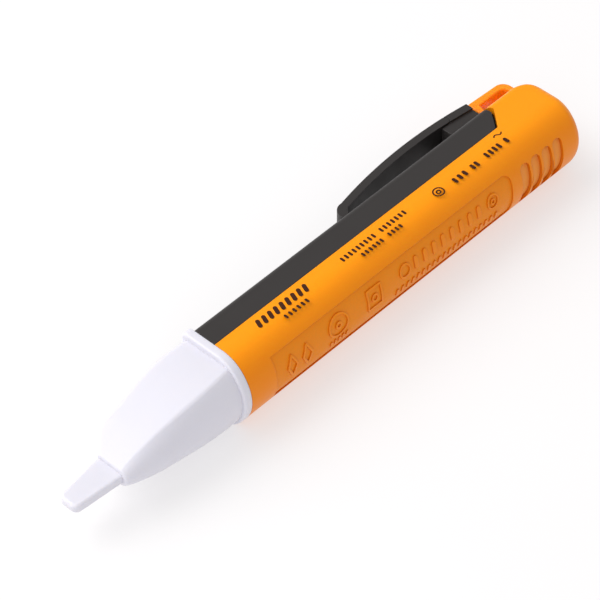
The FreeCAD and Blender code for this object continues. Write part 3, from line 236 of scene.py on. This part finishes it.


def sleeve_plastic(name):
    """The sleeve's orange plastic, with painted shade darker under the belly and on the walls of
    its recesses, rougher and mottled with painted shade on the long recess's floor, and paler on
    the grooves' floors with a painted sheen. Its place on the sleeve decides."""
    finish, tint, gloss = moulded(
        name, ORANGE, ORANGE_EDGE, 0.36, grain_depth=0.004, variation=0.04
    )
    place = finish.add("ShaderNodeSeparateXYZ")
    finish.feed(place.inputs[0], finish.place)
    x, y, z = (place.outputs[axis] for axis in "XYZ")
    down = finish.calc("SUBTRACT", y, (PEN_ORIGIN.y + FLOOR_CENTRE) * MM)
    across = finish.calc("SUBTRACT", z, PEN_ORIGIN.z * MM)
    down_squared = finish.calc("MULTIPLY", down, down)
    across_squared = finish.calc("MULTIPLY", across, across)
    squares = finish.calc("ADD", down_squared, across_squared)
    depth = finish.calc("SUBTRACT", FLOOR_RADIUS * MM, finish.calc("SQRT", squares))
    low = finish.calc("LESS_THAN", y, (PEN_ORIGIN.y + RECESSES_TOP) * MM)
    ahead = finish.calc("LESS_THAN", x, (PEN_ORIGIN.x + RECESSES_REAR) * MM)
    below = finish.calc("MULTIPLY", low, ahead)
    # Painted shade: the orange darkens towards the underside of the belly.
    limits = [(PEN_ORIGIN.y + limit) * MM for limit in (BELLY_SHADE_FROM, BELLY_SHADE_TO)]
    under = finish.span(y, *limits, 0.0, 0.75)
    tint = finish.mix(under, tint, ORANGE_BELLY_SHADE)
    deep = finish.calc("GREATER_THAN", depth, FLOOR_DEPTH * MM)
    floor = finish.calc("MULTIPLY", below, deep)
    # Painted shade, mottled, on the long recess's floor, which is also made rougher below.
    recess_shade_mottle = finish.span(finish.noise(0.5, detail=3.0), 0.3, 0.7, 0.10, 0.50)
    tint = finish.mix(finish.calc("MULTIPLY", floor, recess_shade_mottle), tint, ORANGE_RECESS_SHADE)
    # Painted sheen: the grooves' floors are paler and greyer.
    deepest = finish.calc("GREATER_THAN", depth, GROOVE_DEPTH * MM)
    groove = finish.calc("MULTIPLY", below, deepest)
    tint = finish.mix(finish.calc("MULTIPLY", groove, 0.55), tint, ORANGE_GROOVE_SHEEN)
    # Painted shade on the walls of the long recess and of the grooves.
    off_floor = finish.calc("GREATER_THAN", finish.calc("ABSOLUTE", depth), WALL_GAP * MM)
    wall = finish.calc("MULTIPLY", off_floor, below)
    for operation, limit in WALL_DEPTHS:
        wall = finish.calc("MULTIPLY", wall, finish.calc(operation, depth, limit * MM))
    tint = finish.mix(finish.calc("MULTIPLY", wall, 0.8), tint, ORANGE_WALL_SHADE)
    gloss = finish.calc("ADD", gloss, finish.calc("MULTIPLY", floor, 0.18))
    finish.plain(
        Subsurface_Weight=0.10,
        Subsurface_Scale=0.5 * MM,
        Subsurface_Radius=(1.0, 0.35, 0.05),
        Specular_IOR_Level=0.18,
    )
    return finish.done(tint, gloss)


def metal(name, colour, roughness, brushed=(1, 1, 1), tarnish=0.25):
    """A bare metal: fine brush or drawing lines along brushed's long axis, and dull patches."""
    finish = Finish(name)
    edges = finish.soften(0.05)
    lines = finish.noise(0.05, detail=3.0, stretch=brushed)
    patches = finish.span(finish.noise(1.8, detail=4.0), 0.35, 0.75)
    tint = finish.mix(finish.calc("MULTIPLY", patches, tarnish), colour, shade(colour, 0.45))
    tint = finish.mix(finish.calc("MULTIPLY", edges, 0.4), tint, shade(colour, 1.15))
    finish.relief(lines, 0.003)
    gloss = finish.span(patches, 0.0, 1.0, roughness, roughness + 0.18)
    finish.plain(Metallic=1.0)
    return finish.done(tint, gloss)


def laminate(name):
    """Green board laminate: woven glass under solder mask, with paler tracks and a dull edge."""
    finish = Finish(name)
    edges = finish.soften(0.04)
    weave = finish.calc("MULTIPLY", finish.bands(0.5, "X"), finish.bands(0.5, "Y"))
    tint = finish.mix(weave, rgb(0.010, 0.115, 0.040), rgb(0.016, 0.160, 0.058))
    across = finish.span(finish.bands(1.9, "Y", waviness=1.5), 0.80, 0.86)
    blocks = finish.span(finish.noise(5.0, detail=0.0, stretch=(2.0, 1.0, 1.0)), 0.47, 0.50)
    tracks = finish.calc("MULTIPLY", across, blocks)
    tint = finish.mix(tracks, tint, rgb(0.040, 0.270, 0.095))
    tint = finish.mix(edges, tint, rgb(0.330, 0.290, 0.130))
    finish.relief(tracks, 0.035)
    finish.relief(weave, 0.004)
    return finish.done(tint, finish.span(finish.noise(3.0), 0.3, 0.7, 0.28, 0.42))


CELL_BAND_FROM = 0.72  # share of the cell's length at which its copper band starts


def cell_film(name):
    """A cell's printed jacket: a dark sleeve with a plain copper band round part of it."""
    finish = Finish(name)
    along = finish.add("ShaderNodeSeparateXYZ")
    finish.feed(along.inputs[0], finish.place)
    repeats = finish.calc("FRACT", finish.calc("DIVIDE", along.outputs["X"], CELL_LENGTH * MM))
    band = finish.calc("GREATER_THAN", repeats, CELL_BAND_FROM)
    tint = finish.mix(band, rgb(0.020, 0.022, 0.026), rgb(0.60, 0.25, 0.09))
    smudge = finish.span(finish.noise(3.5, detail=3.0), 0.4, 0.75)
    tint = finish.mix(finish.calc("MULTIPLY", smudge, 0.15), tint, rgb(0.20, 0.19, 0.18))
    finish.soften(0.1)
    finish.relief(finish.noise(1.4, detail=2.0, stretch=(4.0, 1.0, 1.0)), 0.02)
    finish.plain(Coat_Weight=0.4, Coat_Roughness=0.15)
    return finish.done(tint, finish.span(smudge, 0.0, 1.0, 0.25, 0.42))


def ringed_resistors(name):
    """Small chip resistors: a black glazed top between two tinned ends."""
    finish = Finish(name)
    edges = finish.soften(0.04)
    glaze = finish.mix(finish.noise(0.3), rgb(0.014, 0.014, 0.016), rgb(0.030, 0.030, 0.034))
    tint = finish.mix(edges, glaze, rgb(0.55, 0.54, 0.52))
    finish.relief(finish.noise(0.15), 0.004)
    return finish.done(tint, finish.span(finish.noise(0.6), 0.3, 0.7, 0.30, 0.50))


def ink(name):
    """Pad printing ink: dark brown, slightly uneven, with pinholes that let the plastic show."""
    finish = Finish(name)
    density = finish.noise(0.7, detail=3.0)
    tint = finish.mix(density, rgb(0.024, 0.006, 0.002), rgb(0.070, 0.018, 0.004))
    pinholes = finish.span(finish.cells(0.55), 0.10, 0.06)
    tint = finish.mix(finish.calc("MULTIPLY", pinholes, 0.5), tint, rgb(0.55, 0.17, 0.01))
    finish.relief(finish.noise(0.12), 0.003)
    finish.plain(Specular_IOR_Level=0.18)
    return finish.done(tint, finish.span(density, 0.3, 0.7, 0.46, 0.60))


# Colours in linear light. The variants are for worn edges and for painted shade and sheen at places
# on the sleeve.
ORANGE = rgb(0.980, 0.315, 0.002)
ORANGE_EDGE = rgb(1.000, 0.430, 0.040)
ORANGE_BELLY_SHADE = rgb(0.800, 0.215, 0.001)
ORANGE_RECESS_SHADE = rgb(0.720, 0.235, 0.010)
ORANGE_GROOVE_SHEEN = rgb(0.840, 0.360, 0.090)
ORANGE_WALL_SHADE = rgb(0.600, 0.115, 0.001)
# Slightly redder than the sleeve's orange: painted glow of the light bounced in the crevice under
# the tongue.
TONGUE_GLOW = rgb(1.000, 0.300, 0.002)
GREY = rgb(0.028, 0.0245, 0.0235)
GREY_EDGE = rgb(0.110, 0.102, 0.098)
WHITE = rgb(0.705, 0.695, 0.762)
WHITE_EDGE = rgb(0.810, 0.800, 0.865)

orange = sleeve_plastic("orange_moulding")
tongue = translucent(
    "tongue_moulding",
    TONGUE_GLOW,
    ORANGE_EDGE,
    0.40,
    depth=1.6,
    share=0.40,
    reach=(1.0, 0.30, 0.03),
    grain_depth=0.004,
)
grey = moulded_solid(
    "grey_moulding", GREY, GREY_EDGE, 0.46, grain=0.16, grain_depth=0.010, variation=0.10
)
white = translucent(
    "tip_moulding",
    WHITE,
    WHITE_EDGE,
    0.40,
    depth=1.6,
    share=0.32,
    grain_depth=0.003,
    variation=0.02,
)

FINISHES = {
    "sensor_tip": white,
    "carrier": grey,
    "pocket_clip": grey,
    "sleeve": orange,
    "release_latch": tongue,
    "circuit_board": laminate("board_laminate"),
    "sense_electrode": metal("spring_bronze", rgb(0.78, 0.52, 0.27), 0.26, brushed=(12, 1, 1)),
    "indicator_led": translucent(
        "red_epoxy",
        rgb(0.70, 0.03, 0.02),
        rgb(0.85, 0.12, 0.08),
        0.12,
        depth=1.5,
        share=0.6,
        grain_depth=0.001,
    ),
    "led_leads": metal("tinned_wire", rgb(0.72, 0.71, 0.68), 0.30, brushed=(8, 1, 1)),
    "logic_chip": moulded_solid(
        "black_epoxy", rgb(0.016, 0.016, 0.017), rgb(0.06, 0.06, 0.06), 0.62, grain=0.08
    ),
    "chip_legs": metal("tinned_legs", rgb(0.70, 0.69, 0.66), 0.34),
    "transistor": moulded_solid(
        "black_case", rgb(0.020, 0.019, 0.019), rgb(0.07, 0.07, 0.07), 0.58, grain=0.08
    ),
    "chip_resistors": ringed_resistors("film_resistor"),
    "chip_capacitors": moulded_solid(
        "ceramic",
        rgb(0.33, 0.21, 0.12),
        rgb(0.60, 0.58, 0.54),
        0.50,
        grain=0.10,
        edge_radius=0.25,
    ),
    "buzzer_housing": moulded_solid(
        "sounder_plastic", rgb(0.035, 0.035, 0.038), rgb(0.12, 0.12, 0.12), 0.50
    ),
    "buzzer_disc": metal("sounder_plate", rgb(0.80, 0.60, 0.30), 0.22, brushed=(1, 10, 1)),
    "board_screws": metal("screw_steel", rgb(0.58, 0.57, 0.55), 0.30),
    "front_contact": metal("contact_steel", rgb(0.66, 0.65, 0.62), 0.26, brushed=(1, 10, 1)),
    "return_contact": metal("return_steel", rgb(0.66, 0.65, 0.62), 0.26, brushed=(10, 1, 1)),
    "rear_spring": metal("spring_steel", rgb(0.60, 0.60, 0.60), 0.24, brushed=(1, 4, 4)),
    "front_cell_can": metal("cell_metal", rgb(0.70, 0.69, 0.66), 0.28),
    "rear_cell_can": metal("rear_cell_metal", rgb(0.70, 0.69, 0.66), 0.28),
    "front_cell_jacket": cell_film("cell_film"),
    "rear_cell_jacket": cell_film("rear_cell_film"),
}
for node_name, finish_material in FINISHES.items():
    for material_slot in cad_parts[node_name].material_slots:
        material_slot.material = finish_material

# ---------------------------------------------------------------- printed and moulded marks

# Each mark is a path on a flat pattern, drawn as a low bar of a given width. The wording that such
# a tool carries is stood for by plain bars, rings and frames of the same extent. A pattern's u is
# the pen's x, and its v runs across the surface that it is laid on. All are in millimetres.


def side_surface(u, v):
    """The point of the flat side at pattern place u, v, and the way out of the plastic."""
    return at(u, v, SIDE_FACE), Vector((0, 0, 1))


def belly_surface(u, v):
    """The point of the recess floor at pattern place u, v, and the way out of the plastic."""
    angle = math.asin(v / FLOOR_RADIUS)
    outward = Vector((0, -math.cos(angle), math.sin(angle)))
    return at(u, FLOOR_CENTRE, 0) + outward * FLOOR_RADIUS * MM, outward


def bar(start, end, width):
    """A straight bar with rounded ends."""
    return {"path": (start, end), "width": width, "closed": False}


def ring(centre, half_wide, half_high, width, corners=28):
    """A closed ring round centre; with four corners it is a diamond."""
    u, v = centre
    angles = [2 * math.pi * i / corners for i in range(corners)]
    path = [(u + half_wide * math.cos(a), v + half_high * math.sin(a)) for a in angles]
    return {"path": path, "width": width, "closed": True}


def box_frame(centre, half_wide, half_high, width):
    """A rectangular frame round centre."""
    u, v = centre
    path = [(u + half_wide * i, v + half_high * j) for i, j in SQUARE]
    return {"path": path, "width": width, "closed": True}


def row_of_uprights(start, v, count, pitch, height, width, lean=0.0):
    """Upright bars in a row that starts at u = start and has its middle at v. Each leans by lean
    from foot to head."""
    half = (height - width) / 2
    bars = []
    for index in range(count):
        u = start + width / 2 + index * pitch
        bars.append(bar((u - lean / 2, v - half), (u + lean / 2, v + half), width))
    return bars


def divided(path, closed, step):
    """The path with more points, none further apart than step."""
    ends = path[1:] + path[:1] if closed else path[1:]
    points = []
    for (u0, v0), (u1, v1) in zip(path, ends):
        count = max(1, math.ceil(math.hypot(u1 - u0, v1 - v0) / step))
        for i in range(count):
            points.append((u0 + (u1 - u0) * i / count, v0 + (v1 - v0) * i / count))
    return points if closed else points + [path[-1]]


def directions(points, closed):
    """The unit direction of travel at each point."""
    result = []
    for i in range(len(points)):
        before = points[i - 1] if closed or i > 0 else points[i]
        last = i + 1 == len(points)
        after = points[i] if last and not closed else points[(i + 1) % len(points)]
        step = Vector((after[0] - before[0], after[1] - before[1]))
        result.append(step.normalized())
    return result


MARK_STEP = 0.35  # the furthest apart that points along a mark's path are
END_DEGREES = (80, 60, 40, 20)  # where a bar's round end has points, from its tip to its side


def outline(mark):
    """The centre line of a mark with its half widths, and round ends where it is open."""
    points = divided(mark["path"], mark["closed"], MARK_STEP)
    ways = directions(points, mark["closed"])
    half = mark["width"] / 2
    halves = [half] * len(points)
    if mark["closed"]:
        return points, ways, halves
    caps = [(math.sin(a), math.cos(a)) for a in map(math.radians, END_DEGREES)]
    first, last = Vector(points[0]), Vector(points[-1])
    head = [tuple(first - ways[0] * half * out) for out, _ in caps]
    tail = [tuple(last + ways[-1] * half * out) for out, _ in reversed(caps)]
    thin = [half * across for _, across in caps]
    points = head + points + tail
    ways = [ways[0]] * len(head) + ways + [ways[-1]] * len(tail)
    return points, ways, thin + halves + thin[::-1]


# A mark's cross-section: how far from the bar's middle as a share of half its width, and how far
# above the surface as a share of its height. Its foot is below the surface.
SECTION = (
    (-1.0, -0.5),
    (-1.0, 0.6),
    (-0.82, 1.0),
    (0.0, 1.0),
    (0.82, 1.0),
    (1.0, 0.6),
    (1.0, -0.5),
)


def new_piece(name, vertices, faces, material):
    """A mesh object in the scene."""
    mesh = bpy.data.meshes.new(name)
    mesh.from_pydata(vertices, [], faces)
    mesh.validate()
    mesh.materials.append(material)
    mesh.update()
    piece = bpy.data.objects.new(name, mesh)
    bpy.context.scene.collection.objects.link(piece)
    return piece


def marks_piece(name, marks, surface, height, material):
    """A piece of the sleeve with a low bar for every mark, standing height above the surface."""
    vertices, faces = [], []
    across = len(SECTION)
    for mark in marks:
        points, ways, halves = outline(mark)
        base = len(vertices)
        for (u, v), way, half in zip(points, ways, halves):
            side = Vector((-way.y, way.x))
            for out, up in SECTION:
                foot, outward = surface(u + side.x * half * out, v + side.y * half * out)
                vertices.append(foot + outward * height * up * MM)
        count = len(points)
        for i in range(count if mark["closed"] else count - 1):
            here, there = base + i * across, base + (i + 1) % count * across
            for j in range(across):
                k = (j + 1) % across
                faces.append((here + j, there + j, there + k, here + k))
        if not mark["closed"]:
            faces.append(tuple(base + j for j in range(across)))
            faces.append(tuple(base + (count - 1) * across + j for j in reversed(range(across))))
    piece = new_piece(name, vertices, faces, material)
    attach(piece, "sleeve")


PRINT_HEIGHT = 0.012
EMBOSS_HEIGHT = 0.30
WAVE_START, WAVE_STEP, WAVE_STEPS = 130.3, 0.2, 12  # u of the printed wave's points
WAVE_MIDDLE, WAVE_RISE = 0.95, 0.32  # v of its middle, and how far it swings from there

wave = [
    (WAVE_START + WAVE_STEP * i, WAVE_MIDDLE + WAVE_RISE * math.sin(2 * math.pi * i / WAVE_STEPS))
    for i in range(WAVE_STEPS + 1)
]
printed = (
    row_of_uprights(54.9, 0.0, 9, 1.74, 2.3, 1.0, lean=0.5)
    + row_of_uprights(60.4, -2.75, 6, 1.25, 1.3, 0.62)
    + row_of_uprights(80.3, -0.1, 9, 1.2, 1.4, 0.62)
    + row_of_uprights(92.3, -0.1, 7, 1.2, 1.4, 0.62)
    + row_of_uprights(84.4, -2.3, 6, 1.15, 1.25, 0.58)
    + row_of_uprights(92.6, -2.3, 4, 1.15, 1.25, 0.58)
    + [ring((109.5, -1.4), 1.3, 1.2, 0.34), ring((109.5, -1.4), 0.5, 0.46, 0.34)]
    + row_of_uprights(114.1, -1.7, 3, 1.6, 1.75, 0.85)
    + row_of_uprights(119.9, -1.7, 2, 1.3, 1.75, 0.8)
    + row_of_uprights(124.7, -1.5, 4, 1.35, 1.75, 0.75)
    + row_of_uprights(131.1, -1.5, 1, 1.5, 1.75, 0.9)
    + [{"path": wave, "width": 0.34, "closed": False}]
)
embossed = (
    [ring((57.4, 1.0), 1.35, 2.7, 0.6, corners=4), ring((61.9, 1.0), 1.35, 2.7, 0.6, corners=4)]
    + [ring((71.5, 2.1), 2.8, 2.5, 0.55), ring((71.5, 2.1), 0.7, 0.65, 0.6)]
    + row_of_uprights(68.9, -1.9, 5, 1.2, 1.5, 0.6)
    + [box_frame((82.7, 1.9), 2.1, 2.4, 0.55), ring((82.7, 1.9), 0.8, 0.8, 0.5)]
    + [ring((92.3, 2.6), 1.5, 1.5, 0.5)]
    + row_of_uprights(95.2, 2.6, 8, 2.9, 3.2, 1.3)
    + [ring((120.7, 2.7), 1.6, 1.6, 0.45), ring((120.7, 2.7), 0.55, 0.55, 0.4)]
    + row_of_uprights(89.4, -1.9, 20, 1.68, 2.0, 0.8)
)

marks_piece("sleeve_print", printed, side_surface, PRINT_HEIGHT, ink("print_ink"))
marks_piece("sleeve_embossing", embossed, belly_surface, EMBOSS_HEIGHT, orange)

# ---------------------------------------------------------------- the web under the release tongue

WEB_FRONT, WEB_REAR = 138.7, 148.0  # x of the web's ends
WEB_LOW, WEB_HIGH, WEB_CROWN = 7.5, 8.7, 9.3  # y of its underside, its top's sides and middle
WEB_HALF = 4.72  # half its width, which just enters the slot's walls
WEB_STEPS = 12  # divisions across the arched top
WEB_ROUND, WEB_ROUND_MIDDLE = 0.4, 0.12  # reach of its ends' rounding, and that of its middle


def tongue_web():
    """The floor of the slot under the release tongue: a thin web with an arched top and rounded
    ends."""
    profile = [(-WEB_HALF, WEB_LOW), (WEB_HALF, WEB_LOW)]
    for i in range(WEB_STEPS + 1):
        z = WEB_HALF * (1 - 2 * i / WEB_STEPS)
        profile.append((z, WEB_HIGH + (WEB_CROWN - WEB_HIGH) * (1 - (z / WEB_HALF) ** 2)))
    rounding = ((0.0, WEB_ROUND), (WEB_ROUND_MIDDLE, WEB_ROUND_MIDDLE), (WEB_ROUND, 0.0))
    sections = [(WEB_FRONT + inward, drop) for inward, drop in rounding]
    sections += [(WEB_REAR - inward, drop) for inward, drop in reversed(rounding)]
    vertices, faces = [], []
    around = len(profile)
    for x, drop in sections:
        vertices += [at(x, max(WEB_LOW, y - drop), z) for z, y in profile]
    for i in range(len(sections) - 1):
        for j in range(around):
            k = (j + 1) % around
            here, there = i * around, (i + 1) * around
            faces.append((here + j, here + k, there + k, there + j))
    faces.append(tuple(reversed(range(around))))
    faces.append(tuple((len(sections) - 1) * around + j for j in range(around)))
    piece = new_piece("sleeve_tongue_web", vertices, faces, tongue)
    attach(piece, "sleeve")


tongue_web()

# ---------------------------------------------------------------- the table the tester lies on


def table_finish():
    """White seamless card: barely uneven in tone and sheen."""
    finish = Finish("white_card")
    tone = finish.noise(60.0, detail=2.0)
    tint = finish.mix(tone, rgb(0.390, 0.387, 0.388), rgb(0.405, 0.402, 0.403))
    finish.relief(finish.noise(0.6, detail=2.0), 0.004)
    finish.plain(Specular_IOR_Level=0.1)
    finish.plain(Emission_Color=rgb(1.0, 0.985, 0.99), Emission_Strength=0.54)
    return finish.done(tint, finish.span(tone, 0.3, 0.7, 0.75, 0.85))


TABLE_HALF = 2.0  # metres

corners = [(TABLE_HALF * i, TABLE_HALF * j, 0) for i, j in SQUARE]
new_piece("table", corners, [(0, 1, 2, 3)], table_finish())

# ---------------------------------------------------------------- light


def soft_light(name, direction, distance, size, power, colour):
    """A square soft box that faces the tester from the given direction. Distance and size are in
    metres, and power is in watts."""
    light = bpy.data.lights.new(name, "AREA")
    light.shape = "SQUARE"
    light.size = size
    light.energy = power
    light.color = colour
    lamp = bpy.data.objects.new(name, light)
    away = Vector(direction).normalized()
    lamp.location = away * distance
    lamp.rotation_euler = away.to_track_quat("Z", "Y").to_euler()
    bpy.context.scene.collection.objects.link(lamp)


soft_light(
    "key", (-0.5, 0.75, 1.0), distance=1.0, size=0.9, power=8.5, colour=(1.0, 0.99, 0.98)
)
soft_light(
    "fill", (-0.9, -0.5, 0.8), distance=1.2, size=0.8, power=2.5, colour=(0.97, 0.98, 1.0)
)

world = bpy.data.worlds.new("studio")
world.use_nodes = True
sky = world.node_tree.nodes["Background"]
sky.inputs["Color"].default_value = (1.0, 0.995, 1.0, 1.0)
sky.inputs["Strength"].default_value = 0.62
bpy.context.scene.world = world
bpy.context.scene.view_settings.view_transform = "Standard"

# ---------------------------------------------------------------- camera

AZIMUTH = math.radians(-46.867)
ELEVATION = math.radians(46.635)
ROLL = math.radians(-0.13)
DISTANCE = 655.2  # mm from the aimed point to the lens
AIMED_POINT = (75.0, 0.0, 0.0)
FOCAL_LENGTH = 186.12  # mm
SENSOR_WIDTH = 36.0  # mm
# How far right of and below the view's middle the aimed point is, as slopes.
OFF_CENTRE = (0.007724, 0.001763)

back = Vector(
    (
        math.sin(AZIMUTH) * math.cos(ELEVATION),
        -math.cos(AZIMUTH) * math.cos(ELEVATION),
        math.sin(ELEVATION),
    )
)
level = Vector((math.cos(AZIMUTH), math.sin(AZIMUTH), 0.0))
upright = back.cross(level)
right = level * math.cos(ROLL) + upright * math.sin(ROLL)
up = upright * math.cos(ROLL) - level * math.sin(ROLL)
view_back = (back + right * OFF_CENTRE[0] - up * OFF_CENTRE[1]).normalized()
view_right = (right - view_back * right.dot(view_back)).normalized()
view_up = view_back.cross(view_right)

lens = bpy.data.cameras.new("camera")
lens.lens = FOCAL_LENGTH
lens.sensor_width = SENSOR_WIDTH
lens.clip_start = 0.01
lens.clip_end = 20.0
camera = bpy.data.objects.new("camera", lens)
turn = Matrix((view_right, view_up, view_back)).transposed().to_4x4()
camera.matrix_world = Matrix.Translation(at(*AIMED_POINT) + back * DISTANCE * MM) @ turn
bpy.context.scene.collection.objects.link(camera)
bpy.context.scene.camera = camera
